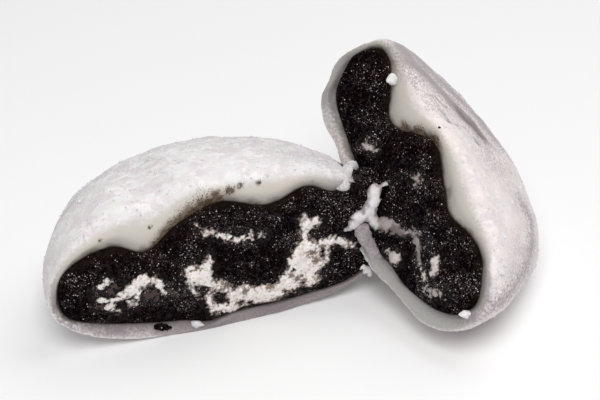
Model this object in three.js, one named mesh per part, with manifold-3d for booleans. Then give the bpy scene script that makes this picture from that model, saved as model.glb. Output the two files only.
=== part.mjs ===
// Black sesame mochi, pulled open into two halves that still hold together at one edge.
// Millimetres, +Z up. The origin is on the ground under the middle of the whole piece.
//
// Each half is half a soft dumpling with a flat torn face. In a half's own axes, u runs along
// the torn face, w runs from the underside of the dumpling to its domed top, and d runs from
// the torn face into the food.

import * as THREE from 'three';
import { mergeVertices } from 'three/addons/utils/BufferGeometryUtils.js';
import Module from 'manifold-3d';

const wasm = await Module();
wasm.setup();

// Space left between two pieces that touch.
const gap = 0.3;

// The rice skin of each half. Its ends reach out along u from the middle of the torn face, each
// with its roundness: 2 is an oval, and more is squarer. A bulge or a dent is a share of the
// height, with its place and its width along u.
const leftSkin = {
  ends: [{ reach: 27.6, roundness: 2.17 }, { reach: 25.6, roundness: 2.6 }],
  top: { height: 16.2, bulges: [{ share: -0.08, at: -11, width: 3.5 }] },
  base: { height: 12.2, bulges: [] },
  depth: 24.3,
};
const rightSkin = {
  ends: [{ reach: 24.8, roundness: 2.25 }, { reach: 24.6, roundness: 2.6 }],
  top: { height: 9.9, bulges: [{ share: -0.13, at: -9, width: 6 }] },
  base: {
    height: 12.3,
    bulges: [{ share: -0.17, at: -10.5, width: 4.5 }, { share: 0.05, at: 7, width: 5 }],
  },
  depth: 26.7,
};

// The sesame filling of each half, with the lobes that its outline shows on the torn face.
const leftFilling = {
  ends: [{ reach: 26.1, roundness: 2.9 }, { reach: 24.8, roundness: 3 }],
  top: {
    height: 8.6,
    bulges: [
      { share: -0.38, at: -12.4, width: 3.3 },
      { share: 0.37, at: -0.7, width: 5.9 },
      { share: 0.4, at: 13.9, width: 4.5 },
      { share: 0.85, at: 22.5, width: 3.2 },
    ],
  },
  base: {
    height: 9.6,
    bulges: [
      { share: -0.18, at: -21.8, width: 12.9 },
      { share: 0.1, at: -2.8, width: 2.7 },
      { share: 0.1, at: 21.5, width: 4.4 },
    ],
  },
  depth: 20.5,
};
const rightFilling = {
  ends: [{ reach: 23.1, roundness: 3 }, { reach: 22.5, roundness: 3 }],
  top: {
    height: 4.3,
    bulges: [
      { share: 0.78, at: -22.2, width: 4.4 },
      { share: -1.04, at: -9.9, width: 4.8 },
      { share: 0.63, at: -4.3, width: 5.3 },
      { share: -0.23, at: 7.7, width: 2.6 },
      { share: 0.5, at: 15.9, width: 4.8 },
    ],
  },
  base: {
    height: 8,
    bulges: [
      { share: -0.3, at: -23, width: 1.6 },
      { share: 0.08, at: -19, width: 3.5 },
      { share: 0.35, at: 4.9, width: 5.3 },
      { share: 0.15, at: 13.2, width: 3.7 },
      { share: -0.15, at: 22, width: 2.5 },
    ],
  },
  depth: 21.5,
};

// How square the halves are from the torn face to the back, above and underneath. 2 is an oval.
const domeRoundness = 2.2;
const baseRoundness = 3;

// Where each half lies: the middle of its torn face, and its turns in degrees.
// The left half sits on its base. The right half has rolled onto its side and leans back.
const leftPlace = { middle: [-10.9, -12.1, 11.4], turn: 19, lean: 0, roll: 0 };
const rightPlace = { middle: [17.9, -3.5, 21.3], turn: -44.3, lean: -29.9, roll: 36.8 };

// The joint between the halves: a rope of filling, and a neck of skin behind and below it.
// Each is an hourglass with an oval section, whose ends lie inside the two halves.
const fillingNeck = {
  place: { middle: [10.8, 0, 17.5], turn: 43, lean: 0, roll: 16 },
  path: [[-5.5, 0, 0.6, 3.6], [0, 0, 0, 3.3], [5.5, 0, 0.6, 3.6]],
  depth: 0.95,
};
const skinNeck = {
  place: { middle: [11, 1.4, 12.2], turn: 20, lean: 0, roll: 0 },
  path: [[-10, -0.8, 1, 9.4], [-5, -0.8, 0.5, 8.3], [0, 0, 0, 7.8], [5, 2, 0, 8.4], [10, 4.5, 0, 9.2]],
  depth: 0.95,
};

// The pale pieces in the filling. Each is a lumpy strand, given by [u, w, radius] along it.
const paleStrands = [
  {
    name: 'pale_band_left',
    place: leftPlace,
    path: [[14.8, 6, 1.4], [13.3, 3.9, 0.7], [13.4, 1.2, 2], [12, -1.8, 2.8], [10.2, -4.3, 2.2],
      [6.6, -6, 1.7], [3, -5.8, 2.2], [-0.4, -6, 2.3], [-3.1, -4, 1.9], [-4.3, -0.6, 2], [-3.5, 2.4, 0.9]],
  },
  {
    name: 'pale_patch_left',
    place: leftPlace,
    path: [[-19.3, 2, 1.2], [-19.2, -0.7, 0.9], [-18.4, -3, 1.4], [-16.2, -2.4, 1],
      [-14.2, -0.6, 1.3], [-12.1, 0.2, 1.4], [-10.2, -1.3, 1.1]],
  },
  {
    name: 'pale_thread_left',
    place: leftPlace,
    path: [[-4, 7.4, 0.6], [-1.2, 6.4, 0.7], [2, 5.8, 0.6], [4.8, 5.4, 0.5]],
  },
  {
    name: 'pale_thread_right',
    place: rightPlace,
    path: [[3.6, -8.2, 0.7], [3.7, -6.2, 0.8], [5.7, -3.4, 0.7], [8.2, -2.9, 0.6], [10.8, -3.7, 0.55],
      [13.6, -4, 0.7], [15.6, -4.8, 0.9], [17.3, -4.3, 0.8], [18.7, -2.9, 0.6]],
  },
  {
    name: 'pale_lump_right',
    place: rightPlace,
    path: [[7.5, -8, 0.5], [8.9, -7.4, 0.9], [10, -6.8, 0.6]],
  },
  {
    name: 'pale_drop_right',
    place: rightPlace,
    path: [[11.8, -1, 0.6], [13.2, -1.5, 0.9], [14.5, -2, 0.5]],
  },
];

// The torn edge of the right half's skin, which curls up over the filling at the joint. It is
// given in the left half's axes as [u, w, d, radius] along it.
const tornCurl = [[25, 9.6, -0.3, 0.7], [24, 7, -0.6, 1], [23.2, 4.4, -0.6, 1.1], [23.3, 2, -0.1, 1],
  [23.9, -0.1, 0.1, 1], [24.2, -1.4, -1.4, 0.9]];

// How far the strands stand proud of the torn face, how much deeper than wide they are, and how
// deep their middle lies and how blunt their tips are, as shares of their radius.
const strandRise = 0.4;
const strandDepth = 1.7;
const strandSink = 1.25;
const strandTip = 0.6;

// Faceting.
const skinSides = 52;
const skinRings = 10;
const fillingSides = 64;
const fillingRings = 8;
const strandSides = 8;
const strandRingsPerStop = 2;
const neckSides = 22;

const materials = {
  skin: new THREE.MeshStandardMaterial({ color: 0xdcd6d4, roughness: 0.7, metalness: 0 }),
  filling: new THREE.MeshStandardMaterial({ color: 0x17110f, roughness: 0.55, metalness: 0 }),
  pale: new THREE.MeshStandardMaterial({ color: 0xd8d0ca, roughness: 0.75, metalness: 0 }),
};

// The sum of the bulges at u, as a share of the height.
function bulgeShare(bulges, u) {
  const bell = ({ share, at, width }) => share * Math.exp(-(((u - at) / width) ** 2));
  return bulges.reduce((sum, bulge) => sum + bell(bulge), 0);
}

// A point [u, w] of a half's outline: a rounded box with its own heights above and below,
// which the bulges raise and lower by as much as strength lets them.
function outlinePoint(form, angle, strength) {
  const [across, up] = [Math.cos(angle), Math.sin(angle)];
  const side = up >= 0 ? form.top : form.base;
  const { reach, roundness } = form.ends[across >= 0 ? 1 : 0];
  const scale = (Math.abs(across) ** roundness + Math.abs(up) ** roundness) ** (-1 / roundness);
  const u = reach * scale * across;
  return [u, side.height * (1 + strength * bulgeShare(side.bulges, u)) * scale * up];
}

// A closed surface through rings of points, with a pole at each end. Seen from the first pole,
// each ring runs anticlockwise.
function ringSurface(firstPole, rings, lastPole) {
  const sides = rings[0].length;
  const points = [firstPole, ...rings.flat(), lastPole];
  const last = points.length - 1;
  const index = [];
  for (let side = 0; side < sides; side += 1) {
    const next = (side + 1) % sides;
    index.push(0, 1 + side, 1 + next);
    for (let ring = 0; ring < rings.length - 1; ring += 1) {
      const here = 1 + ring * sides;
      const there = here + sides;
      index.push(here + side, there + side, there + next, here + side, there + next, here + next);
    }
    const final = 1 + (rings.length - 1) * sides;
    index.push(final + next, final + side, last);
  }
  const geometry = new THREE.BufferGeometry();
  geometry.setAttribute('position', new THREE.Float32BufferAttribute(points.flat(), 3));
  geometry.setIndex(index);
  return geometry;
}

// Half a dumpling: its flat face and a dome that closes over the outline, flatter underneath.
// The bulges fade towards the back of the dome.
function halfDumpling(form, sides, ringCount) {
  const rings = [];
  for (let ring = 0; ring < ringCount; ring += 1) {
    const lift = (ring / ringCount) * Math.PI / 2;
    const share = Math.sin(lift) ** (2 / domeRoundness);
    const shrink = (1 - share ** domeRoundness) ** (1 / domeRoundness);
    const baseShrink = (1 - share ** baseRoundness) ** (1 / baseRoundness);
    const points = [];
    for (let side = 0; side < sides; side += 1) {
      const [u, w] = outlinePoint(form, (side / sides) * 2 * Math.PI, Math.cos(lift));
      points.push([u * shrink, form.depth * share, w * (w < 0 ? baseShrink : shrink)]);
    }
    rings.push(points);
  }
  return ringSurface([0, 0, 0], rings, [0, form.depth, 0]);
}

// The same surface moved out along its normals.
function grown(geometry, distance) {
  geometry.computeVertexNormals();
  const { position, normal } = geometry.attributes;
  for (let i = 0; i < position.count; i += 1) {
    const point = new THREE.Vector3().fromBufferAttribute(position, i);
    point.addScaledVector(new THREE.Vector3().fromBufferAttribute(normal, i), distance);
    position.setXYZ(i, point.x, point.y, point.z);
  }
  return geometry;
}

// A lumpy strand along a smooth curve through [u, w, d, radius], with round ends. Its section
// is an oval with the given number of sides, as much deeper than wide as depth says.
function strandSurface(path, depth, sides) {
  const line = new THREE.CatmullRomCurve3(path.map(([u, w, d]) => new THREE.Vector3(u, d, w)));
  const size = new THREE.CatmullRomCurve3(path.map((stop) => new THREE.Vector3(stop[3], 0, 0)));
  const steps = (path.length - 1) * strandRingsPerStop;
  const rings = [];
  for (let step = 0; step <= steps; step += 1) {
    const share = step / steps;
    const middle = line.getPoint(share);
    const along = line.getTangent(share);
    const across = new THREE.Vector3(-along.z, 0, along.x).normalize();
    const taper = step === 0 || step === steps ? strandTip : 1;
    const radius = size.getPoint(share).x * taper;
    const points = [];
    for (let side = 0; side < sides; side += 1) {
      const angle = (side / sides) * 2 * Math.PI;
      const point = middle.clone().addScaledVector(across, radius * Math.cos(angle));
      point.y += radius * depth * Math.sin(angle);
      points.push(point.toArray());
    }
    rings.push(points);
  }
  const end = (share, sign) => {
    const reach = size.getPoint(share).x * strandTip;
    return line.getPoint(share).addScaledVector(line.getTangent(share), sign * reach).toArray();
  };
  return ringSurface(end(0, -1), rings, end(1, 1));
}

// Moves a geometry from a half's own axes to where the half lies.
function setDown(geometry, place) {
  const turns = [place.lean, place.roll, place.turn].map(THREE.MathUtils.degToRad);
  const rotation = new THREE.Quaternion().setFromEuler(new THREE.Euler(...turns, 'ZXY'));
  const matrix = new THREE.Matrix4().compose(
    new THREE.Vector3(...place.middle),
    rotation,
    new THREE.Vector3(1, 1, 1),
  );
  return geometry.applyMatrix4(matrix);
}

// A solid that can be joined and cut, from a closed geometry.
function toSolid(geometry) {
  const bare = geometry.clone();
  bare.deleteAttribute('normal');
  bare.deleteAttribute('uv');
  const merged = mergeVertices(bare, 1e-4);
  const corners = merged.index.array;
  const kept = [];
  for (let i = 0; i < corners.length; i += 3) {
    const [a, b, c] = corners.slice(i, i + 3);
    if (a !== b && b !== c && c !== a) kept.push(a, b, c);
  }
  const solid = new wasm.Manifold(new wasm.Mesh({
    numProp: 3,
    vertProperties: new Float32Array(merged.attributes.position.array),
    triVerts: new Uint32Array(kept),
  }));
  return solid;
}

// A named mesh from a finished solid.
function toMesh(name, solid, material) {
  const { vertProperties, triVerts } = solid.getMesh();
  const geometry = new THREE.BufferGeometry();
  geometry.setAttribute('position', new THREE.Float32BufferAttribute(vertProperties, 3));
  geometry.setIndex(new THREE.Uint32BufferAttribute(triVerts, 1));
  const mesh = new THREE.Mesh(geometry, material);
  mesh.name = name;
  return mesh;
}

// Everything below the ground, which cuts the small flat spots that the piece rests on.
function ground() {
  const size = 200;
  return toSolid(new THREE.BoxGeometry(size, size, size).translate(0, 0, -size / 2));
}

// The largest connected piece of a solid, without loose scraps.
function mainPiece(solid) {
  return solid.decompose().reduce((best, piece) => (piece.volume() > best.volume() ? piece : best));
}

// The space in front of a half's torn face, from a given height above the face.
function spaceInFront(place, height) {
  const size = 120;
  const block = new THREE.BoxGeometry(size, size, size).translate(0, -size / 2 - height, 0);
  return toSolid(setDown(block, place));
}

// A strand set down in its place, grown out by grow.
function strandSolid(path, place, grow) {
  return toSolid(setDown(grown(strandSurface(path, strandDepth, strandSides), grow), place));
}

// The pale solids, each with the space that it takes up in the filling. A strand on a torn face
// is sunk in it and cut off at its rise.
function makePalePieces() {
  return paleStrands.map(({ name, place, path }) => {
    const route = path.map(([u, w, radius]) => [u, w, radius * strandSink, radius]);
    const solid = strandSolid(route, place, 0).subtract(spaceInFront(place, strandRise));
    return { name, solid, room: strandSolid(route, place, gap) };
  });
}

// The hourglass between the halves, grown out by grow.
function neckSolid({ path, place, depth }, grow) {
  return toSolid(setDown(grown(strandSurface(path, depth, neckSides), grow), place));
}

// The filling of both halves and the rope between them, grown out by grow.
function fillingForm(grow) {
  const left = grown(halfDumpling(leftFilling, fillingSides, fillingRings), grow);
  const right = grown(halfDumpling(rightFilling, fillingSides, fillingRings), grow);
  const halves = toSolid(setDown(left, leftPlace)).add(toSolid(setDown(right, rightPlace)));
  return halves.add(neckSolid(fillingNeck, grow));
}

// The outside of both halves, joined by the neck of skin, which stays behind the torn faces.
function outerForm() {
  const left = toSolid(setDown(halfDumpling(leftSkin, skinSides, skinRings), leftPlace));
  const right = toSolid(setDown(halfDumpling(rightSkin, skinSides, skinRings), rightPlace));
  const front = spaceInFront(leftPlace, 0).add(spaceInFront(rightPlace, 0));
  const joint = neckSolid(skinNeck, 0).subtract(front);
  return left.add(right).add(joint).subtract(ground());
}

function makeMochi() {
  const group = new THREE.Group();
  let filling = fillingForm(0).subtract(strandSolid(tornCurl, leftPlace, gap));
  let skin = outerForm().subtract(fillingForm(gap)).add(strandSolid(tornCurl, leftPlace, 0));
  for (const { name, solid, room } of makePalePieces()) {
    filling = filling.subtract(room);
    skin = skin.subtract(room);
    group.add(toMesh(name, mainPiece(solid), materials.pale));
  }
  group.add(toMesh('rice_skin', mainPiece(skin), materials.skin));
  group.add(toMesh('sesame_filling', mainPiece(filling), materials.filling));
  return group;
}

export default makeMochi();
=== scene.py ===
from collections import namedtuple

import bpy
import numpy as np
from mathutils import Matrix, Vector


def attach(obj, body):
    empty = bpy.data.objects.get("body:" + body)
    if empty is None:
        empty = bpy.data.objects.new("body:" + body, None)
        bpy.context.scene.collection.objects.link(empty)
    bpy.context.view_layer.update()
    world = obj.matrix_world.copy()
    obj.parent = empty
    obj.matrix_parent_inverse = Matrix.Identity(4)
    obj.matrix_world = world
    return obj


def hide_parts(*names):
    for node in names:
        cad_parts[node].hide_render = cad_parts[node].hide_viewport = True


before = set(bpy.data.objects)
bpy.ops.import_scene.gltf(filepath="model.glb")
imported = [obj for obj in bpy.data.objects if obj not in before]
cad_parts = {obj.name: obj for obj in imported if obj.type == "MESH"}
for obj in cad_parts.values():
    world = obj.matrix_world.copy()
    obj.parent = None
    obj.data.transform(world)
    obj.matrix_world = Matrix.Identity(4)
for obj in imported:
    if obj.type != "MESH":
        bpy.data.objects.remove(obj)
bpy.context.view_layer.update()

# Black sesame mochi, torn open: a rice skin dusted with starch round a grainy sesame filling.
# Lengths are in millimetres until a mesh is made. Each half has axes of its own: u runs along
# its torn face, d from the torn face into the food, and w from its underside to its domed top.
MM = 0.001

# A side of an outline is its height and its bulges (share of the height, place along u, width).
# A form is its two ends (reach, roundness), its top and base sides, and its depth.
# A place is the middle of a torn face in the part's frame and its turns in degrees.
Side = namedtuple("Side", "height bulges")
Form = namedtuple("Form", "ends top base depth")
Place = namedtuple("Place", "middle turn lean roll")
# Stains are (u, w, size) on the cut skin. Creases, greys, dusts and grits are lines (strength, width,
# stops (u, d, w)). Creases are grooves with painted shade in them, greys are painted shade, and grits
# are where the filling's painted glints crowd. Dents are ((u, d, w), width, depth), and a negative
# depth is a swelling.
Half = namedtuple("Half", "place skin filling seed stains creases greys dusts dents grits")
Body = namedtuple("Body", "points quads triangles marks")

LEFT = Half(
    place=Place((-10.9, -12.1, 11.4), 19, 0, 0),
    skin=Form(((27.6, 2.17), (25.6, 2.6)), Side(16.2, ((-0.08, -11, 3.5),)), Side(12.2, ()), 24.3),
    filling=Form(
        ((26.1, 2.9), (24.8, 3)),
        Side(8.6, ((-0.38, -12.4, 3.3), (0.37, -0.7, 5.9), (0.4, 13.9, 4.5), (0.85, 22.5, 3.2))),
        Side(9.6, ((-0.18, -21.8, 12.9), (0.1, -2.8, 2.7), (0.1, 21.5, 4.4))),
        20.5,
    ),
    seed=11,
    stains=(
        (-10.0, 6.4, 1.5), (-8.6, 7.8, 1.9), (-7.0, 9.2, 2.1), (-5.0, 10.8, 2.4), (-2.8, 12.2, 2.4),
        (-1.0, 13.2, 1.5), (1.2, 14.0, 0.9), (2.8, 14.4, 0.6), (5.8, 14.3, 0.5), (-19.2, 9.6, 0.35),
        (-11.5, 10.2, 0.4),
    ),
    creases=(),
    # These greys are painted shade: where the torn face meets the joint, on the dome by the joint and along
    # the underside.
    greys=(
        (0.9, 1.8, ((17, 0.2, -8.8), (18.9, 0.2, -8.2), (20.6, 0.1, -7.6), (22.1, 0, -6.9), (23.5, 0, -6))),
        (0.3, 4.5, ((12, 6, 13.5), (16.5, 4, 12.5), (19.5, 3, 11), (20.8, 1.5, 10.5))),
        (0.55, 2.6, ((-6, 0, -11), (-2, 0, -11.3), (6, 0, -11.3), (13, 0, -10.7), (18, 0, -8.8))),
    ),
    dusts=(
        (0.6, 2.0, (
            (-26.3, 0.1, -2.3), (-24.2, -0.1, -5.5), (-22.1, -0.2, -8.0), (-18.6, -0.2, -9.6),
            (-13.1, -0.2, -10.8),
        )),
    ),
    dents=(
        ((-24, 11.5, 4.5), 6, 0.35), ((-18.5, 14.6, 8.8), 6.5, 0.4), ((13, 13, 13), 7, 0.6),
        ((-18.5, 16, 6.2), 4.5, -0.85), ((-6, 17, 11.8), 7, -0.75), ((3, 18, 11), 3.5, -0.3),
        ((-26.5, 6, 0.5), 3.5, -0.35), ((13.2, 0, -11), 3.5, 0.45), ((25.8, 1, 5), 3.2, 1.3),
    ),
    grits=(
        (1.5, 3.4, ((18.5, 0, 7.6), (21.5, 0, 6.2))),
        (0.6, 2.6, ((1, 0, 9.2), (8, 0, 7.4), (13, 0, 8.5))),
        (0.5, 2.6, ((-13, 0, 2.2), (-8, 0, 3.2), (-4, 0, 4.6))),
        (0.5, 2.4, ((18, 0, -3.4), (22, 0, -3.6))),
    ),
)
RIGHT = Half(
    place=Place((17.9, -3.5, 21.3), -44.3, -29.9, 36.8),
    skin=Form(
        ((24.8, 2.25), (24.6, 2.6)),
        Side(9.9, ((-0.13, -9, 6), (0.22, -21.5, 3.5))),
        Side(12.3, ((-0.17, -10.5, 4.5), (0.05, 7, 5))),
        26.7,
    ),
    filling=Form(
        ((23.1, 3), (22.15, 3)),
        Side(4.3, (
            (0.78, -22.2, 4.4), (-1.04, -9.9, 4.8), (0.63, -4.3, 5.3), (-0.23, 7.7, 2.6),
            (0.5, 15.9, 4.8),
        )),
        Side(8, ((-0.3, -23, 1.6), (0.08, -19, 3.5), (0.35, 4.9, 5.3), (0.15, 13.2, 3.7), (-0.15, 22, 2.5))),
        21.5,
    ),
    seed=47,
    stains=((-8.3, 2.6, 1.0), (-6.3, 4.8, 1.2), (-3.6, 6.6, 1.3)),
    creases=(
        (0.75, 0.22, ((-11.6, 3.7, 7.9), (-10.6, 4.7, 7.9), (-9.8, 6.0, 7.8))),
        (1, 0.3, ((-8.1, 3.2, 8.2), (-7.4, 3.7, 8.3), (-5.7, 3.1, 8.9))),
        (0.55, 0.24, (
            (-5.7, 3.1, 8.9), (-5.0, 4.5, 9.1), (-5.3, 7.2, 8.8), (-3.1, 7.6, 9.2), (-1.7, 8.9, 9.3),
        )),
        (0.6, 1.7, ((-9.5, 10.4, 7.5), (-6.3, 11.6, 8.0), (-4.4, 11.9, 8.4))),
        (0.65, 0.26, (
            (-9.7, 10.1, 7.5), (-8.4, 10.5, 7.6), (-7.2, 10.5, 7.8), (-5.1, 9.3, 8.6), (-3.4, 9.8, 8.9),
        )),
        (0.8, 0.35, ((-2.4, 8.2, 9.2), (-1.7, 8.1, 9.2))),
    ),
    # These greys are painted shade on the upper dome where it turns from the light, and along its right-hand
    # side.
    greys=(
        (0.55, 1.6, ((-17.2, 4.7, 7.5), (-15.6, 6.9, 7.3), (-14.5, 8.6, 7.2), (-12.4, 10.9, 7.0))),
        (0.75, 1.2, ((-13.4, 9.2, 7.1), (-12.2, 11.6, 7.0), (-10.8, 13.4, 6.8))),
        (1, 1.3, ((-9.9, 11.9, 7.2), (-8.6, 12.4, 7.3), (-6.6, 13.0, 7.7), (-4.4, 13.0, 8.1))),
        (0.9, 3.0, (
            (-20.0, 1.5, 7.4), (-18.2, 1.5, 7.6), (-15.6, 4.3, 7.7), (-12.9, 7.4, 7.6), (-9.9, 10, 7.6),
            (-7.1, 11.9, 7.8), (-4.6, 12.5, 8.2),
        )),
        (0.35, 6, ((-16, 7, 7), (-9, 8, 7.5), (-3, 9, 8.7), (1, 10, 9.2))),
        (0.5, 2.6, ((-17.5, 0.6, 7.3), (-14.5, 1.2, 7.9), (-12, 2.5, 8.1), (-9.5, 3, 8.3))),
        (0.8, 4.2, (
            (-19.6, 4.1, 7.4), (-17.4, 8.4, 7.0), (-15.1, 13.0, 6.2), (-12.0, 16.5, 6.0),
            (-9.0, 18.5, 6.2), (-6.0, 19.0, 6.6),
        )),
        (0.72, 2.3, (
            (8.1, 15.1, 8.3), (10.3, 16.8, 7.6), (13.0, 15.4, 7.4), (15.4, 13.9, 6.9),
            (18.0, 12.0, 6.1), (20.6, 7.6, 5.9), (22.4, 3.8, 5.4), (23.6, 1.2, 4.3), (24.2, 0.2, 2.3),
            (24.2, -0.2, -0.2),
        )),
        (0.3, 3.0, ((15.3, 8.9, 8.0), (17.8, 7.3, 7.4), (20.6, 3.5, 6.8), (22.7, 1.3, 5.3))),
    ),
    dusts=(
        (1, 1.1, ((18.6, 0.5, 7.3), (19.6, 1.1, 7.3), (18.8, 2.7, 7.8))),
        (1, 0.9, ((20.6, 1.0, 6.6), (21.5, 0.6, 5.7), (22.2, 1.1, 5.6), (21.5, 1.7, 6.3))),
        (0.9, 0.8, ((23.7, 0.1, 3.0), (24.1, 0, 1.6))),
        (0.6, 2.2, ((4.4, 9.3, 9.4), (8.0, 8.1, 9.5), (11.6, 6.4, 9.2))),
        (0.7, 1.0, ((-3.6, 3.6, 9.4), (-2.5, 5.0, 9.5), (-1.4, 6.3, 9.5))),
        (0.6, 1.5, ((-17.1, -0.6, -8.5), (-13.8, -0.4, -8.5), (-10.3, -0.4, -8.4), (-8.8, -0.3, -8.6))),
    ),
    dents=(
        ((-19.5, 10, 6.5), 5.5, 1.25), ((-16, 16, 6), 6, 1.3), ((22.9, 11, 1), 5.5, 0.9),
        ((20.5, 15, 3), 6, 0.8), ((24.2, 6, -2), 4, 0.45), ((23.4, 0.5, -5.8), 3.5, 0.6),
        ((-24.6, 0.9, 0), 3, 0.5), ((-19.2, 0.5, -8.6), 4, -0.95), ((-11.5, 0.5, -9.4), 4, -0.5),
        ((-12.9, 19.7, 5.2), 3, 0.5), ((2.5, 21.9, 6), 7, -0.65), ((9.5, 21.5, 5.7), 3, -0.25),
        ((-22.3, 1.8, 5.4), 2.5, -0.35), ((16.5, 0, -10.4), 4.5, 0.75), ((12.5, 0, -11.7), 2.5, 0.35),
        ((-22.3, -0.5, -6.9), 2, 0.5),
    ),
    grits=(
        (1.0, 3.0, ((16.5, 0, 0.5), (19.5, 0, 0.8))),
        (0.6, 2.4, ((-3, 0, 3.2), (1, 0, 3.6), (5, 0, 2.6))),
        (0.5, 2.6, ((-19, 0, 1.4), (-14, 0, 0), (-9, 0, -2))),
        (0.7, 2.2, ((-3, 0, -6.4), (1, 0, -7))),
    ),
)
# The roundness of a dome's sections, above the middle of a half and below it.
DOME_ROUNDNESS = 2.2
BASE_ROUNDNESS = 3
UP = np.array([0, 0, 1.0])
# Large numbers that mix the whole numbers of a lattice corner and a seed into a random-looking one.
MIXERS = (374761393, 668265263, 974634777, 362437)
LAST_MIXER = 1274126177
LOW_BITS = 0xFFFFFFFF


def smooth_step(low, high, value):
    """0 below low, 1 above high, and 3x^2 - 2x^3 of the share x in between."""
    x = np.clip((value - low) / (high - low), 0, 1)
    return x * x * (3 - 2 * x)


def joined(*parts):
    """Points or faces whose columns are the parts, each spread to their common shape."""
    return np.stack(np.broadcast_arrays(*parts), axis=-1)


def corner_heights(corner, seed):
    """A fixed random height from -1 to 1 for each whole-numbered corner of a lattice."""
    parts = (*np.moveaxis(corner, -1, 0), seed)
    mixed = sum(part * mixer for part, mixer in zip(parts, MIXERS)) & LOW_BITS
    mixed = ((mixed ^ (mixed >> 13)) * LAST_MIXER) & LOW_BITS
    return ((mixed ^ (mixed >> 16)) & 0xFFFF) / 32767.5 - 1


def lumps(points, size, seed):
    """Smooth random relief from -1 to 1: lattice corners `size` apart have random heights, and
    a point takes the mean of its eight corners, each weighted by the smooth step of its nearness."""
    spot = np.asarray(points, float) / size + seed * 7.31
    low = np.floor(spot).astype(np.int64)
    share = spot - low
    share = share * share * (3 - 2 * share)
    total = np.zeros(spot.shape[:-1])
    for corner in np.ndindex(2, 2, 2):
        weight = np.prod(np.where(corner, share, 1 - share), axis=-1)
        total += weight * corner_heights(low + corner, seed)
    return total


def rough(points, size, layers, seed):
    """The sum of several lumps, each half as wide and half as high as the one before."""
    return sum(lumps(points, size / 2**n, seed + n) / 2**n for n in range(layers))


def bulge_share(bulges, u):
    """The sum of bell curves share * exp(-((u - at) / width)^2)."""
    return sum((share * np.exp(-(((u - at) / width) ** 2)) for share, at, width in bulges), 0 * u)


def outline(form, angle, strength=1.0):
    """Points (u, w) of a half's outline: reach and height times the superellipse
    (cos, sin) / (|cos|^n + |sin|^n)^(1/n), with the height raised by the bulges at u."""
    across, up = np.cos(angle), np.sin(angle)
    reach = np.where(across >= 0, form.ends[1][0], form.ends[0][0])
    n = np.where(across >= 0, form.ends[1][1], form.ends[0][1])
    scale = (np.abs(across) ** n + np.abs(up) ** n) ** (-1 / n)
    u = reach * scale * across
    top = form.top.height * (1 + strength * bulge_share(form.top.bulges, u))
    base = form.base.height * (1 + strength * bulge_share(form.base.bulges, u))
    return u, np.where(up >= 0, top, base) * scale * up


def heights_at(form, u):
    """The heights of an outline above and below at u: height * (1 - |u / reach|^n)^(1/n)."""
    reach = np.where(u >= 0, form.ends[1][0], form.ends[0][0])
    n = np.where(u >= 0, form.ends[1][1], form.ends[0][1])
    fall = np.maximum(1 - np.abs(u / reach) ** n, 0) ** (1 / n)
    top = form.top.height * (1 + bulge_share(form.top.bulges, u)) * fall
    base = form.base.height * (1 + bulge_share(form.base.bulges, u)) * fall
    return top, base


def dome_point(form, angle, lift):
    """Points (u, d, w) of a dome over an outline. d = depth * sin(lift)^(2/n), and the outline
    shrinks by (1 - (d / depth)^n)^(1/n), with a squarer n underneath."""
    share = np.sin(lift) ** (2 / DOME_ROUNDNESS)
    shrink = np.maximum(1 - share**DOME_ROUNDNESS, 0) ** (1 / DOME_ROUNDNESS)
    base_shrink = np.maximum(1 - share**BASE_ROUNDNESS, 0) ** (1 / BASE_ROUNDNESS)
    u, w = outline(form, angle, np.cos(lift))
    w = w * np.where(w < 0, base_shrink, shrink)
    return joined(u * shrink, form.depth * share, w)


def laid(points, place):
    """Points (u, d, w) of a half where the half lies: rolled about d, leaned about u, turned
    about the upright and moved to the middle of the torn face."""
    turn, lean, roll = (np.radians(a) for a in (place.turn, place.lean, place.roll))
    turns = Matrix.Rotation(turn, 3, "Z") @ Matrix.Rotation(lean, 3, "X") @ Matrix.Rotation(roll, 3, "Y")
    return points @ np.array(turns).T + np.array(place.middle)


def along(stops, count):
    """Points on the smooth curve through the stops: between two stops it is the cubic whose
    slope at each is half the step between that stop's neighbours."""
    stops = np.asarray(stops, float)
    padded = np.vstack([2 * stops[0] - stops[1], stops, 2 * stops[-1] - stops[-2]])
    t = np.linspace(0, len(stops) - 1, count)
    i = np.minimum(t.astype(int), len(stops) - 2)
    x = (t - i)[:, None]
    a, b, c, d = (padded[i + k] for k in range(4))
    return 0.5 * (2 * b + (c - a) * x + (2 * a - 5 * b + 4 * c - d) * x**2 + (3 * b - a - 3 * c + d) * x**3)


def nearness(points, stops, width):
    """exp(-(distance / width)^2), with the distance taken to the line through the stops."""
    best = np.full(points.shape[:-1], 99.0)
    stops = np.asarray(stops, float)
    for start, step in zip(stops[:-1], np.diff(stops, axis=0)):
        share = np.clip((points - start) @ step / (step @ step), 0, 1)
        best = np.minimum(best, np.linalg.norm(points - start - share[..., None] * step, axis=-1))
    return np.exp(-((best / width) ** 2))


def strongest(points, lines):
    """The largest strength * nearness over lines (strength, width, stops), or 0 without lines."""
    best = np.zeros(points.shape[:-1])
    for strength, width, stops in lines:
        best = np.maximum(best, strength * nearness(points, stops, width))
    return best


def closed_rings(first_pole, rings, last_pole, marks):
    """A closed surface: rings (rows, columns, 3) joined by quads, and a fan to the pole at each
    end. Each mark is one number for each point of the rings, and its mean at the poles."""
    rows, columns = rings.shape[:2]
    points = np.vstack([first_pole, rings.reshape(-1, 3), last_pole])
    index = 1 + np.arange(rows * columns).reshape(rows, columns)
    after = np.roll(index, -1, axis=1)
    quads = joined(index[:-1], after[:-1], after[1:], index[1:]).reshape(-1, 4)
    fans = np.vstack([joined(0, after[0], index[0]), joined(len(points) - 1, index[-1], after[-1])])
    spread = {
        name: np.concatenate([[m[0].mean()], m.reshape(-1), [m[-1].mean()]]) for name, m in marks.items()
    }
    return facing_out(Body(points, quads, fans, spread))


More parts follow.
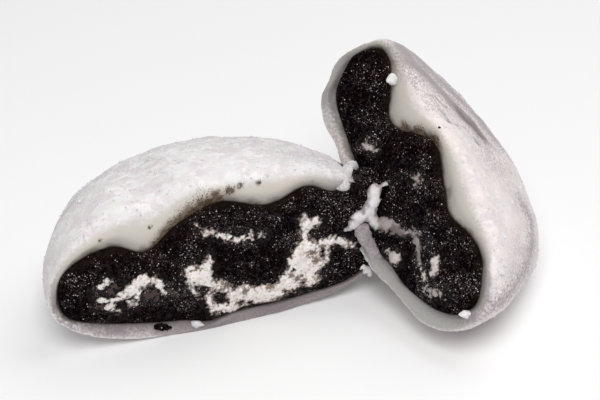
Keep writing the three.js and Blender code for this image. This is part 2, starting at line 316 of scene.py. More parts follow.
def facing_out(body):
    """The body with every face turned over if its faces enclose a negative volume."""
    p = body.points - body.points.mean(0)
    a, b, c, d = (p[body.quads[:, k]] for k in range(4))
    volume = np.sum(a * np.cross(b, c)) + np.sum(a * np.cross(c, d))
    a, b, c = (p[body.triangles[:, k]] for k in range(3))
    volume += np.sum(a * np.cross(b, c))
    if volume < 0:
        return body._replace(quads=body.quads[:, ::-1], triangles=body.triangles[:, ::-1])
    return body


def slab(top, bottom, keep, marks):
    """A closed slab over a grid: its top and bottom points (rows, columns, 3), limited to the
    cells whose four corners are kept, with a wall down every edge that has no neighbour."""
    rows, columns = keep.shape
    index = np.arange(rows * columns).reshape(rows, columns)
    cell = keep[:-1, :-1] & keep[1:, :-1] & keep[:-1, 1:] & keep[1:, 1:]
    a, b, c, d = index[:-1, :-1], index[1:, :-1], index[1:, 1:], index[:-1, 1:]
    upper = joined(a, b, c, d)[cell]
    under = upper[:, ::-1] + rows * columns
    ringed = np.pad(cell, 1)
    walls = []
    for start, end, neighbour in (
        (a, b, ringed[1:-1, :-2]), (b, c, ringed[2:, 1:-1]),
        (c, d, ringed[1:-1, 2:]), (d, a, ringed[:-2, 1:-1]),
    ):
        bare = cell & ~neighbour
        near, far = start[bare], end[bare]
        walls.append(joined(far, near, near + rows * columns, far + rows * columns))
    quads = np.vstack([upper, under, *walls])
    points = np.vstack([top.reshape(-1, 3), bottom.reshape(-1, 3)])
    used, quads = np.unique(quads, return_inverse=True)
    spread = {name: np.concatenate([m.reshape(-1), m.reshape(-1)])[used] for name, m in marks.items()}
    return facing_out(Body(points[used], quads.reshape(-1, 4), np.zeros((0, 3), int), spread))


def make_piece(name, bodies, material, replaced=()):
    """One mesh object from closed bodies, in metres, riding on the part."""
    start = np.cumsum([0] + [len(b.points) for b in bodies])
    quads = np.vstack([b.quads + s for b, s in zip(bodies, start)])
    triangles = np.vstack([b.triangles + s for b, s in zip(bodies, start)])
    mesh = bpy.data.meshes.new(name)
    mesh.vertices.add(int(start[-1]))
    points = np.vstack([b.points for b in bodies]) * MM
    mesh.vertices.foreach_set("co", points.astype(np.float32).reshape(-1))
    mesh.loops.add(quads.size + triangles.size)
    corners = np.concatenate([quads.reshape(-1), triangles.reshape(-1)])
    mesh.loops.foreach_set("vertex_index", corners.astype(np.int32))
    mesh.polygons.add(len(quads) + len(triangles))
    first = np.concatenate([np.arange(len(quads)) * 4, quads.size + np.arange(len(triangles)) * 3])
    mesh.polygons.foreach_set("loop_start", first.astype(np.int32))
    mesh.update(calc_edges=True)
    mesh.shade_smooth()
    for mark in bodies[0].marks:
        values = np.concatenate([b.marks[mark] for b in bodies]).astype(np.float32)
        mesh.attributes.new(mark, "FLOAT", "POINT").data.foreach_set("value", values)
    mesh.materials.append(material)
    piece = bpy.data.objects.new(name, mesh)
    bpy.context.scene.collection.objects.link(piece)
    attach(piece, "root")
    if replaced:
        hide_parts(*replaced)


# The rice skin

SKIN_COLUMNS = 440
DOME_ROWS, BEND_ROWS, FLAT_ROWS, HIDDEN_ROWS = 94, 25, 25, 13
# How far the cut skin's inner border lies behind the torn face.
BORDER_SINK = 0.75


def settled(points, softness=0.35):
    """Points whose height z is kept above the ground by (z + sqrt(z^2 + softness^2)) / 2, so that
    the underside flattens where the piece rests."""
    z = points[..., 2]
    rest = 0.5 * (z + np.sqrt(z * z + softness**2))
    return joined(points[..., 0], points[..., 1], rest)


def top_share(angle):
    """How much an angle of the outline belongs to the domed top: 0 underneath and 1 on top."""
    return smooth_step(-0.15, 0.75, np.sin(angle))


def skin_rings(half, angle):
    """Rings of a half's skin, with a point for each angle of the outline: from the back of the
    dome to the torn edge, over a quarter of an ellipse and across the torn section to the
    filling. Then the rings hidden behind the filling, each outer point's share of the way
    across the section, and the section's width at each angle."""
    topness = top_share(angle)
    rolled = 0.4 + 1.8 * topness
    share = 0.6 - 0.1 * topness
    lift = np.arcsin((rolled / half.skin.depth) ** (DOME_ROUNDNESS / 2))
    back = np.linspace(0, 1, DOME_ROWS + 1)[1:, None]
    dome = dome_point(half.skin, angle, np.pi / 2 + (lift - np.pi / 2) * back)
    edge = dome[-1][:, [0, 2]]
    inward = joined(*outline(half.filling, angle)) - edge
    bend = np.linspace(0, np.pi / 2, BEND_ROWS + 1)[1:, None]
    flat_share = share + (1.03 - share) * np.linspace(0, 1, FLAT_ROWS + 1)[1:, None]
    across = np.concatenate([share * (1 - np.cos(bend)), flat_share])
    lip = 0.45 * (1 - topness) * (1 - smooth_step(0.1, 0.9, across))
    depth = np.concatenate([rolled * (1 - np.sin(bend)), 0 * flat_share])
    depth += BORDER_SINK * smooth_step(share, 1.0, across) - lip
    flat = edge + inward * across[..., None]
    dome[..., 1] -= lip[0] * np.exp(-dome[..., 1] / 2)
    outer = np.concatenate([dome, joined(flat[..., 0], depth, flat[..., 1])])
    hidden_lift = np.linspace(0, np.pi / 2, HIDDEN_ROWS + 2)[1:-1, None]
    hidden = dome_point(half.filling, angle, hidden_lift) + np.array([0, BORDER_SINK, 0])
    reach = np.concatenate([np.zeros((DOME_ROWS, len(angle))), across])
    return outer, hidden, reach, np.linalg.norm(inward, axis=-1)


def skin_relief(half, outer, reach, creases, dusts):
    """How far the skin stands out from its smooth form: lumps, powder and thick dust, less the
    creases and depth * exp(-(distance / width)^2) of each dent. It is weaker at the filling."""
    seed = half.seed
    powdered = 1 - smooth_step(0.3, 0.8, reach)
    relief = 0.35 * lumps(outer, 7, seed) + 0.12 * lumps(outer, 2.6, seed + 1)
    relief += powdered * (0.06 * rough(outer, 1.1, 3, seed + 2)) + 0.03 * lumps(outer, 0.9, seed + 3)
    relief -= 0.24 * creases
    relief += dusts * (0.12 + 0.16 * lumps(outer, 1.3, seed + 31) + 0.1 * rough(outer, 0.55, 2, seed + 32))
    for spot, width, depth in half.dents:
        relief -= depth * np.exp(-(np.linalg.norm(outer - np.array(spot), axis=-1) / width) ** 2)
    return relief * (0.25 + 0.75 * (1 - smooth_step(0.85, 1.0, reach)))


def half_skin(half):
    """The skin of a half as one closed surface, with the marks that its colours follow."""
    angle = np.arange(SKIN_COLUMNS) / SKIN_COLUMNS * 2 * np.pi
    topness = top_share(angle)
    outer, hidden, reach, width = skin_rings(half, angle)
    outward = outer - np.array([0, 0.35 * half.skin.depth, 0])
    outward /= np.linalg.norm(outward, axis=-1, keepdims=True)
    wander = outer + 0.35 * joined(*(lumps(outer, 1.4, half.seed + n) for n in (21, 22, 23)))
    creases, greys, dusts = (strongest(wander, lines) for lines in (half.creases, half.greys, half.dusts))
    outer = outer + outward * skin_relief(half, outer, reach, creases, dusts)[..., None]

    u, depth, w = np.moveaxis(outer, -1, 0)
    stains = np.zeros(reach.shape)
    for at_u, at_w, size in half.stains:
        away = np.hypot(u - at_u, w - at_w) + 9 * (depth > 4)
        stains = np.maximum(stains, np.exp(-((away / size) ** 2)))
    end = smooth_step(13, 20, u)
    seep = 0.45 + 0.55 * topness * smooth_step(1.5, 4.0, width) * (1 - 0.6 * end)
    bare_from = -0.25 + 0.25 * topness
    marks = {
        "bare": smooth_step(bare_from, bare_from + 0.55, reach) * (reach > 0),
        "edge": (np.maximum(1 - reach, 0) * width + 10 * (reach == 0)) / seep,
        "cream": topness * (1 - 0.65 * end),
        "stain": stains,
        # Painted shade: the next mark greys the powder towards the back of the dome, where it turns from the
        # light.
        "back_shade": smooth_step(4, 16, depth) * (1 - 0.55 * smooth_step(13, 19, depth)),
        # Painted shade: the next mark darkens the skin along the creases, on top of their real grooves.
        "crease": creases,
        # Painted shade: the next mark greys the skin along the grey lines.
        "grey": greys,
        "dust": dusts,
        "right": np.full(reach.shape, float(half is RIGHT)),
    }
    padding = np.zeros(hidden.shape[:2])
    marks = {name: np.concatenate([m, padding + (name == "bare")]) for name, m in marks.items()}
    pole = laid(np.array([0, half.skin.depth, 0]), half.place)
    hidden_pole = laid(np.array([0, half.filling.depth + BORDER_SINK, 0]), half.place)
    rings = laid(np.concatenate([outer, hidden]), half.place)
    return closed_rings(settled(pole), settled(rings), hidden_pole, marks)


# The sesame filling

FILLING_COLUMNS, FACE_ROWS, BACK_ROWS = 470, 125, 14
# How far behind the torn face the filling's hidden dome starts.
BACK_START = 0.4


def face_depth(half, u, w):
    """How deep the filling's torn face lies at (u, w): sunk at its border, a little proud in
    the middle, with folds, lumps and grains."""
    top, base = heights_at(half.filling, u)
    middle, reach = (top - base) / 2, (top + base) / 2
    inside = np.maximum(reach - np.abs(w - middle), 0)
    spot = joined(u, 0, w)
    folds = 0.55 * lumps(spot, 5.5, half.seed + 5) + 0.28 * lumps(spot, 2.1, half.seed + 6)
    grains = 0.11 * lumps(spot, 0.75, half.seed + 7) + 0.07 * lumps(spot, 0.33, half.seed + 8)
    fade = 1 - np.exp(-inside / 0.9)
    return 0.35 * np.exp(-inside / 0.5) - 0.5 * (1 - np.exp(-inside / 2.5)) + fade * (folds + grains)


def half_filling(half):
    """The filling of a half as a tube along u. Each ring crosses the torn face from the
    underside to the top in even steps, and comes back over the hidden dome."""
    angle = np.linspace(0, np.pi, FILLING_COLUMNS + 2)[1:-1][::-1, None]
    u, top = outline(half.filling, angle)
    _, base = outline(half.filling, -angle)
    w = base + (top - base) * np.linspace(0, 1, FACE_ROWS)
    face = joined(u, face_depth(half, u, w), w)
    over = np.linspace(0, np.pi, BACK_ROWS + 2)[1:-1]
    low_end, high_end = (reach for reach, roundness in half.filling.ends)
    shrink = np.sqrt(np.maximum(1 - (u / np.where(u > 0, high_end, low_end)) ** 2, 0))
    back_depth = BACK_START + half.filling.depth * 0.9 * shrink * np.sin(over) ** 0.9
    back = joined(u, back_depth, (top + base) / 2 + (top - base) / 2 * np.cos(over))
    rings = np.concatenate([face, back], axis=1)
    first, last = (laid(np.array([end, BACK_START, 0]), half.place) for end in (-low_end, high_end))
    below_top = np.concatenate([top - w, np.zeros((FILLING_COLUMNS, BACK_ROWS))], axis=1)
    marks = {"browned": np.exp(-below_top / 0.6), "glinting": strongest(rings * (1, 0, 1), half.grits)}
    return closed_rings(first, laid(rings, half.place), last, marks)


# Pale paste in the filling

# A smear is its ovals, seed and height on a half's torn face, how ragged, soft and faint it is,
# and any holes and brown stains in it.
Smear = namedtuple("Smear", "half ovals seed rise ragged soft faint holes stains", defaults=((), ()))
SMEAR_STEP = 0.12
SMEAR_MARGIN = 1.5


def oval_reach(u, w, ovals):
    """How far (u, w) lies inside the soft union of ovals (u, w, half length, half width, tilt):
    log(sum of exp(4 r)) / 4 with r = (1 - sqrt(x^2 / a^2 + y^2 / b^2)) * b, x and y turned by the tilt."""
    total = np.zeros(u.shape)
    for at_u, at_w, length, width, tilt in ovals:
        c, s = np.cos(np.radians(tilt)), np.sin(np.radians(tilt))
        x, y = (u - at_u) * c + (w - at_w) * s, (w - at_w) * c - (u - at_u) * s
        total += np.exp(4 * np.maximum((1 - np.hypot(x / length, y / width)) * min(length, width), -4))
    return np.log(total) / 4


def pale_smear(half, ovals, seed, rise, ragged, soft, faint, holes, stains):
    """A smear of pale paste on a torn face, as a slab whose top stands proud of the filling
    inside the ovals. A thin fringe about 1 mm wide round them dips below the filling at its end.
    Random warps make the edge ragged."""
    spread = np.array(ovals)
    low = (spread[:, :2] - spread[:, 2:3] - SMEAR_MARGIN).min(0)
    high = (spread[:, :2] + spread[:, 2:3] + SMEAR_MARGIN).max(0)
    u, w = np.meshgrid(*(np.arange(*span, SMEAR_STEP) for span in zip(low, high)), indexing="ij")
    spot = joined(u, 0, w)
    warp_u = u + ragged * lumps(spot, 1.7, seed) + 0.6 * ragged * lumps(spot, 0.6, seed + 1)
    warp_w = w + ragged * lumps(spot, 1.7, seed + 2) + 0.6 * ragged * lumps(spot, 0.6, seed + 3)
    inside = oval_reach(warp_u, warp_w, ovals)
    if holes:
        inside = np.minimum(inside, -oval_reach(warp_u, warp_w, holes))
    inside += (0.16 * lumps(spot, 1.1, seed + 7) + 0.2 * lumps(spot, 0.5, seed + 4) - 0.12) * (1 - 0.6 * soft)
    top_border, base_border = heights_at(half.filling, u)
    margin = np.minimum(top_border - w, w + base_border)
    inside = np.minimum(inside, margin - 0.3)
    crumb = (0.08 * lumps(spot, 1.5, seed + 5) + 0.06 * lumps(spot, 0.4, seed + 6)) * (1 - soft)
    fringe = 0.06 - 0.2 * smooth_step(0.75, 1.05, -inside)
    lift = fringe + (rise + crumb) * (1 - np.exp(-np.maximum(inside, 0) / 0.6))
    level = face_depth(half, u, w)
    top, bottom = (laid(joined(u, depth, w), half.place) for depth in (level - lift, level + 1.2))
    stained = np.zeros(u.shape)
    for at_u, at_w, size in stains:
        stained = np.maximum(stained, np.exp(-((u - at_u) ** 2 + (w - at_w) ** 2) / size**2))
    marks = {"inside": np.clip(inside, -1.2, 1.2), "stained": stained}
    marks |= {"soft": 0 * u + soft, "faint": 0 * u + faint}
    return slab(top, bottom, (inside > -1.1) & (margin > 0.12), marks)


# Each smear's ovals: u, w, half length, half width, tilt in degrees.
TOOTH = [
    (-5.1, 0.2, 1.88, 1.25, -81), (-3.7, -0.6, 1.9, 1.33, -78), (-3, 1.3, 1.74, 0.73, -89),
    (-4.7, -1.7, 1.5, 0.75, -19), (-5.5, -2.8, 1.31, 0.28, -61), (-3, -2.7, 0.85, 0.67, -59),
]
BAND = [
    (-2.2, -3.1, 1, 0.5, -82), (-2.5, -5.6, 2.7, 0.71, -74), (-0.7, -3.5, 1.71, 1.12, -25),
    (-0.8, -7.7, 1.53, 0.77, -19), (1, -5.9, 1.82, 1.05, -84), (2.2, -7, 1.63, 1.27, -43),
    (4.3, -7.6, 1.59, 1.13, -31), (6.4, -7.6, 1.57, 0.96, -23), (0.5, -8.3, 1.2, 0.67, -21),
    (2.7, -5.1, 1.74, 1.22, -29), (4.8, -6.7, 2.06, 1.6, -60), (6.9, -6.6, 1.75, 1.37, -57),
    (8.6, -6.3, 1.77, 1.28, -73), (9.8, -5.4, 1.86, 1.29, -76),
]
MASS = [
    (12.1, -2.2, 3.27, 2.18, -77), (13.4, 0.8, 2.45, 1.58, -25), (14.1, -2.1, 2.43, 1.47, -81),
    (10.8, -4.6, 2.23, 1.31, -82), (13.9, -5.6, 1.71, 1.32, -48), (12.8, 3.5, 1.36, 0.43, -88),
    (12.7, 3, 0.79, 0.48, -81), (13.4, 5.3, 1.48, 0.96, -79), (14.5, 5.4, 1.32, 0.72, -25),
]
ARC = [
    (16.0, 0.4, 1.5, 0.95, -66), (17.4, 0.9, 1.2, 1.0, 0), (19.0, 0.6, 1.3, 0.8, -25),
    (20.4, -0.4, 0.8, 0.45, -48), (15.9, -2.2, 1.2, 0.5, -80),
]
BAND_HOLES = [
    (-0.8, -6.3, 1.19, 0.69, -21), (-4, -2.9, 1.28, 0.55, -23), (10.6, -2.8, 0.35, 0.27, -67),
    (2.2, -7.5, 0.49, 0.38, -53), (3.8, -8.2, 0.39, 0.3, -37), (11.9, -7.3, 1.56, 0.31, -15),
    (15.7, -0.5, 0.6, 0.33, -83),
]
PATCH = [
    (-19.7, 1.7, 0.9, 0.7, 19), (-18.6, 2.3, 0.71, 0.58, -60), (-19.6, -1.5, 1.32, 0.58, -53),
    (-18.7, -2.9, 1.38, 0.76, -48), (-17.5, -4.1, 0.77, 0.32, -57), (-17.6, -1.7, 0.9, 0.65, -25),
    (-16.3, -1.2, 1.2, 0.95, 42), (-15, 0, 1.5, 1.35, 52), (-13.5, 1.0, 1.5, 1.15, -6),
    (-11.8, 0.7, 1.4, 0.75, -28), (-10.6, -0.6, 1.1, 0.6, -59), (-9.9, -1.9, 1.0, 0.55, -60),
    (-14.3, -1.7, 1.3, 0.6, 71), (-15.3, -2.5, 0.8, 0.3, 88),
]
PATCH_VEIL = [
    (-12.2, -2.1, 1.9, 1.5, -30), (-9.0, -2.2, 1.5, 0.9, -50), (-17.9, 0.6, 1.6, 1.4, 0),
    (-19.2, -2.4, 1.5, 1.2, 0), (-7.2, -2.4, 1.2, 0.7, 0),
]
STREAK = [
    (-3.8, 8.5, 0.8, 0.22, -40), (-2.4, 7.5, 0.95, 0.66, -21), (-2.9, 7.1, 0.55, 0.45, -70),
    (-0.9, 6.7, 0.9, 0.42, -32), (0.3, 5.9, 1.6, 0.62, -24), (2.1, 5.2, 1.4, 0.6, -16),
    (3.3, 4.9, 0.7, 0.44, -6), (4.2, 5.5, 0.7, 0.42, -86),
]
STREAK_VEIL = [(5.8, 5.1, 0.9, 0.75, -55), (1, 6.8, 1.2, 0.45, -15)]
RIGHT_ARC = [
    (2.8, -8.2, 1.14, 0.71, 52), (3.8, -7, 1.51, 0.94, 55), (5.2, -5.8, 1.38, 0.57, 42),
    (6.5, -4.6, 1.12, 0.25, 55),
]
THREAD = [
    (7.3, -3.4, 0.74, 0.16, 57), (8.4, -3, 0.64, 0.22, -3), (9.9, -3.4, 1.24, 0.25, -15),
    (11.5, -4, 0.85, 0.25, -21),
]
LUMPS_RIGHT = [
    (15.8, -5.2, 0.74, 0.64, 62), (17.5, -3.8, 1.63, 0.77, 70), (19.2, -2.7, 0.53, 0.38, 46),
    (16.4, -4.5, 0.92, 0.61, 62),
]
ROUND_LUMP = [(9.2, -8, 1.32, 1.09, 60), (7.6, -8.6, 0.45, 0.34, 61)]
DROP = [(13.7, -1.6, 1.15, 0.95, -26), (14.5, -2.8, 0.55, 0.54, 55)]
BLOTCH = [(0.3, 1.5, 1.0, 0.55, 45), (1.2, 0.9, 0.5, 0.35, 10)]
HIGH_VEIL = [(-8.7, -4, 1.6, 1.1, 47), (-9.7, -4.5, 0.9, 0.6, 58)]
BLOTCH_VEIL = [(-1.5, -0.6, 0.6, 0.4, 56), (10.7, -2.6, 1.54, 0.55, -27)]
LOW_VEIL = [(12.7, -4.5, 1.2, 0.7, -10), (14.5, -4.4, 1.5, 0.85, -5)]
# Brown stains in the pale paste: u, w, size.
PALE_STAINS = [
    (0, -3.2, 1.15), (-0.9, -4, 0.7), (3, -5, 0.81), (4.5, -4.5, 0.81), (7.1, -5.2, 0.81),
    (2.3, -7.6, 0.91), (3.9, -8.2, 0.7), (8.4, -8.6, 0.91), (10.4, -3.6, 0.58), (11.5, -4.6, 0.7),
    (12.7, -5.5, 0.7), (12.2, -4.3, 0.46), (13.9, -0.1, 0.91), (14.5, -1.7, 0.81), (15.7, 0.4, 0.7),
    (15.6, -1.3, 0.7), (15.1, -5.2, 0.91), (-2.2, -4.1, 0.7), (-4.8, 1.3, 0.35), (-5.6, 1.1, 0.35),
]
PATCH_STAINS = [
    (-18.1, 0.2, 1.11), (-17, 2.2, 0.79), (-17.5, -3.3, 0.63), (-16.2, -3, 0.63), (-19.5, 0.2, 0.63),
    (-12.1, -0.4, 0.63),
]

# The joint between the halves, the torn curl and the crumbs

def rope(stops, sides, steps, thin, seed, ragged):
    """A closed rope round the smooth curve through stops (u, d, w, radius). Its section is an oval
    whose axis along d is `thin` times the other, and its ends close like half an oval."""
    stops = np.asarray(stops, float)
    curve = along(stops, steps)
    middle, radius = curve[:, :3], curve[:, 3]
    t = np.linspace(-1, 1, steps)
    radius = radius * np.sqrt(np.maximum(1 - np.abs(t) ** 7, 0))
    tangent = np.gradient(middle, axis=0)
    deep = np.array([0, 1.0, 0])
    across = np.cross(tangent, deep)
    across /= np.linalg.norm(across, axis=1, keepdims=True)
    turn = np.linspace(0, 2 * np.pi, sides, endpoint=False)
    spoke = across[:, None] * np.cos(turn)[None, :, None] + thin * deep * np.sin(turn)[None, :, None]
    rings = middle[:, None] + radius[:, None, None] * spoke
    relief = lumps(rings, 1.6, seed) + 0.6 * lumps(rings, 0.6, seed + 1) + 0.3 * lumps(rings, 0.3, seed + 2)
    rings = rings + (ragged * relief * np.minimum(radius, 1)[:, None])[..., None] * spoke
    return rings[1:-1], middle[0], middle[-1]


SKIN_MARKS = ("bare", "edge", "cream", "stain", "back_shade", "crease", "grey", "dust", "right")


def plain_marks(shape):
    """The skin's marks where it is all powder."""
    return {name: np.full(shape, 9.0 if name == "edge" else 0.0) for name in SKIN_MARKS}


def laid_rope(place, stops, sides, steps, thin, seed, ragged, pressed=(), bare=0.35, warm=0.0, **shades):
    """A rope given in a half's axes, where the half lies, and pressed behind the torn faces named.
    Shades are marks that are the same all over it."""
    rings, first, last = rope(stops, sides, steps, thin, seed, ragged)
    spots = np.vstack([laid(first, place)[None], laid(rings, place).reshape(-1, 3), laid(last, place)[None]])
    for half in (*pressed, *pressed):
        spots = behind(spots, half.place, 0.9)
    marks = plain_marks(rings.shape[:2])
    marks["bare"] = bare + 0.4 * lumps(rings, 1.2, 77)
    marks["right"] = warm * smooth_step(8, 20, rings[..., 0])
    for name, shade in shades.items():
        marks[name] = marks[name] + shade
    return closed_rings(spots[0], settled(spots[1:-1].reshape(rings.shape)), spots[-1], marks)


def flap(place, ovals, seed):
    """A torn flap of skin as a slab: its top stands in front of the plane d = 0.25 (w - 9) + 0.1,
    kept between -0.6 and 0.4, by 0.1 + 0.55 (1 - exp(-reach / 0.45)) where the ovals reach."""
    u, w = np.meshgrid(np.arange(17.5, 28, 0.1), np.arange(-2, 12, 0.1), indexing="ij")
    spot = joined(u, 0, w)
    warp_u, warp_w = u + 0.22 * lumps(spot, 1.3, seed), w + 0.22 * lumps(spot, 1.3, seed + 1)
    inside = oval_reach(warp_u, warp_w, ovals) + 0.14 * lumps(spot, 0.5, seed + 2) - 0.12
    plane = np.clip(0.25 * (w - 9) + 0.1, -0.6, 0.4) + 0.2 * lumps(spot, 3, seed + 3)
    lift = 0.1 + (0.55 + 0.12 * lumps(spot, 0.7, seed + 4)) * (1 - np.exp(-np.maximum(inside, 0) / 0.45))
    under = plane + 0.1 + 1.1 * (1 - np.exp(-np.maximum(inside, 0) / 0.7))
    top, bottom = laid(joined(u, plane - lift, w), place), laid(joined(u, under, w), place)
    marks = plain_marks(u.shape)
    marks["bare"] = 0.75 - 1.2 * inside + 0.35 * lumps(spot, 0.9, seed + 5)
    return slab(top, bottom, inside > 0, marks)


def behind(points, place, gap, softness=1.0):
    """Points kept behind a half's torn face: the depth d below it becomes
    gap + (e + sqrt(e^2 + softness^2)) / 2 with e = d - gap."""
    turns = laid(np.eye(3), place) - np.array(place.middle)
    past = (points - np.array(place.middle)) @ turns[1] - gap
    return points + (0.5 * (np.sqrt(past**2 + softness**2) - past))[:, None] * turns[1]


def ball_rings(rows, columns):
    """Points (cos a * sin b, sin a * sin b, cos b) of a unit ball, in rings between its poles."""
    b = np.linspace(0, np.pi, rows + 2)[1:-1, None]
    a = np.linspace(0, 2 * np.pi, columns, endpoint=False)
    return joined(np.cos(a) * np.sin(b), np.sin(a) * np.sin(b), np.cos(b))


LUMP_SHAPE = (60, 90)
LUMP_RELIEF = 0.25
LUMP_GLINTING = 1.3


def lump(place, middle, radii, seed):
    """A lumpy oval given in a half's axes, where the half lies: middle + radii * ball, pushed in
    and out by random lumps."""

    def shaped(points):
        spots = points * np.array(radii) + np.array(middle)
        relief = lumps(spots, 2.2, seed) + 0.4 * lumps(spots, 0.8, seed + 1)
        relief += 0.25 * lumps(spots, 0.35, seed + 2)
        return laid(spots + LUMP_RELIEF * relief[..., None] * points, place)

    marks = {"browned": np.zeros(LUMP_SHAPE), "glinting": np.full(LUMP_SHAPE, LUMP_GLINTING)}
    return closed_rings(shaped(UP), shaped(ball_rings(*LUMP_SHAPE)), shaped(-UP), marks)


def crumbs(centres, radii, seed, columns, rows):
    """Crumbs as one body: each is a ball whose radius varies by random lumps, drawn out by its
    own three radii."""
    ball = np.vstack([UP, ball_rings(rows, columns).reshape(-1, 3), -UP])
    count = len(centres)
    index = 1 + np.arange(rows * columns).reshape(rows, columns)
    after = np.roll(index, -1, axis=1)
    quads = joined(index[:-1], index[1:], after[1:], after[:-1]).reshape(-1, 4)
    fans = np.vstack([joined(0, index[0], after[0]), joined(len(ball) - 1, after[-1], index[-1])])
    spot = ball[None] * 1.3 + np.arange(count)[:, None, None] * 5.7
    uneven = 1 + 0.38 * lumps(spot, 1.0, seed)
    points = np.asarray(centres)[:, None] + ball[None] * uneven[..., None] * np.asarray(radii)[:, None]
    shift = (np.arange(count) * len(ball))[:, None, None]
    quads, fans = (quads[None] + shift).reshape(-1, 4), (fans[None] + shift).reshape(-1, 3)
    return facing_out(Body(points.reshape(-1, 3), quads, fans, plain_marks(count * len(ball))))


def placed_crumbs(table, seed, columns, rows):
    """Crumbs from a table of halves, spots (u, d, w) and radii."""
    centres = [laid(np.array(spot), half.place) for half, spot, radii in table]
    return crumbs(centres, [radii for half, spot, radii in table], seed, columns, rows)


def dusting(half, skin, count, seed):
    """Grains of starch at random points of a half's dome, as likely as the point is far from the
    middle of the dome."""
    pick = np.random.default_rng(seed)
    turns = laid(np.eye(3), half.place) - np.array(half.place.middle)
    own = (skin.points - np.array(half.place.middle)) @ turns.T
    powdered = (skin.marks["bare"] < 0.3) * (skin.marks["grey"] < 0.4)
    likely = np.hypot(own[:, 0], own[:, 2]) * powdered * (skin.points[:, 2] > 0.5)
    at = pick.choice(len(own), count, replace=False, p=likely / likely.sum())
    size = 0.07 + 0.16 * pick.random((count, 1)) ** 3
    return crumbs(skin.points[at], size * (0.7 + 0.6 * pick.random((count, 3))), seed, 6, 3)


# The torn flap's ovals in the left half's axes: u, w, half length, half width, tilt.
FLAP = [
    (24.8, 8.9, 1.0, 0.8, -88), (26, 9.1, 0.75, 0.3, 16), (26.6, 9.1, 0.35, 0.28, -34),
    (24.5, 7.8, 1.5, 1.15, -74), (24.0, 6.6, 1.3, 1.12, -70), (23.5, 5.4, 1.35, 1.12, -57),
    (21.6, 4.6, 1.45, 1.25, 71), (20.9, 3.4, 1.1, 0.95, -88), (20, 2.8, 0.8, 0.5, 1),
    (23.8, 4.2, 1.4, 1.1, -64), (24.5, 2.6, 1.5, 0.95, -66), (25.2, 1.1, 1.1, 0.6, -64),
    (22.4, 4.7, 0.9, 0.8, 0),
]
# Stops (u, d, w, radius) in the left half's axes.
BRIDGE = [
    (20.4, 3.0, 11.0, 0.9), (21.3, 4.5, 10.3, 1.15), (22.5, 6.0, 9.2, 1.2), (23.6, 7.4, 8.1, 1.15),
    (24.6, 8.4, 7.1, 0.8),
]
NOSE = [
    (18.3, 0.9, 10.0, 0.5), (19.3, 0.8, 10.4, 1.1), (20.2, 1.2, 10.7, 1.4), (21.1, 2.6, 10.8, 1.3),
    (21.5, 4.6, 10.5, 1.0),
]
RIM_START = [
    (22.6, 1.6, 4.6, 0.8), (22.5, 0.4, 3.6, 1.05), (22.4, -0.7, 2.3, 1.15), (22.6, -1.5, 0.9, 1.15),
    (23.1, -2.2, -0.5, 1.1), (23.8, -3.0, -1.8, 1.05), (24.4, -4.2, -2.7, 0.8),
]
TORN_EDGE = [(23.1, 8.6, 8.6, 0.5), (24.0, 8.4, 8.2, 0.75), (24.7, 8.2, 7.9, 0.6), (25.2, 8.1, 7.3, 0.35)]
# Stops (u, d, w, radius) in the right half's axes.
TORN_RIM = [
    (0.9, 0.1, -11.6, 0.35), (2.2, -0.1, -12.4, 0.4), (3.4, -0.1, -12.9, 0.35), (5.2, -0.1, -13.0, 0.3),
    (7.0, 0.0, -12.7, 0.35), (8.9, 0.1, -12.3, 0.3), (10.5, 0.2, -11.8, 0.2),
]

# Materials

def add(tree, kind, inputs=None, **settings):
    """A new shader node with its settings, and a value or a link for each named input."""
    made = tree.nodes.new(kind)
    for key, value in settings.items():
        setattr(made, key, value)
    for socket, value in (inputs or {}).items():
        if isinstance(value, bpy.types.NodeSocket):
            tree.links.new(value, made.inputs[socket])
        else:
            made.inputs[socket].default_value = value
    return made


def noise(tree, size, detail=2.0, distortion=0.0):
    """Random cloud from 0 to 1 whose features are about `size` millimetres."""
    where = add(tree, "ShaderNodeTexCoord").outputs["Object"]
    settings = {"Vector": where, "Scale": 1 / (size * MM), "Detail": detail, "Distortion": distortion}
    return add(tree, "ShaderNodeTexNoise", settings).outputs[0]


def between(tree, value, low, high, to_low=0.0, to_high=1.0):
    """A value carried smoothly from one range to another."""
    inputs = {0: value, 1: low, 2: high, 3: to_low, 4: to_high}
    return add(tree, "ShaderNodeMapRange", inputs, interpolation_type="SMOOTHSTEP").outputs[0]


def arithmetic(tree, operation, a, b):
    return add(tree, "ShaderNodeMath", {0: a, 1: b}, operation=operation).outputs[0]


def times(tree, a, b):
    return arithmetic(tree, "MULTIPLY", a, b)


def plus(tree, a, b):
    return arithmetic(tree, "ADD", a, b)


def minus(tree, a, b):
    return arithmetic(tree, "SUBTRACT", a, b)


def blend(tree, share, a, b):
    """Colour a where share is 0 and colour b where it is 1."""
    a, b = (c if isinstance(c, bpy.types.NodeSocket) else (*c, 1.0) for c in (a, b))
    return add(tree, "ShaderNodeMix", {0: share, 6: a, 7: b}, data_type="RGBA").outputs[2]


def mark(tree, name):
    return add(tree, "ShaderNodeAttribute", attribute_name=name).outputs["Fac"]


def new_material(name):
    made = bpy.data.materials.new(name)
    made.use_nodes = True
    return made, made.node_tree, made.node_tree.nodes["Principled BSDF"]


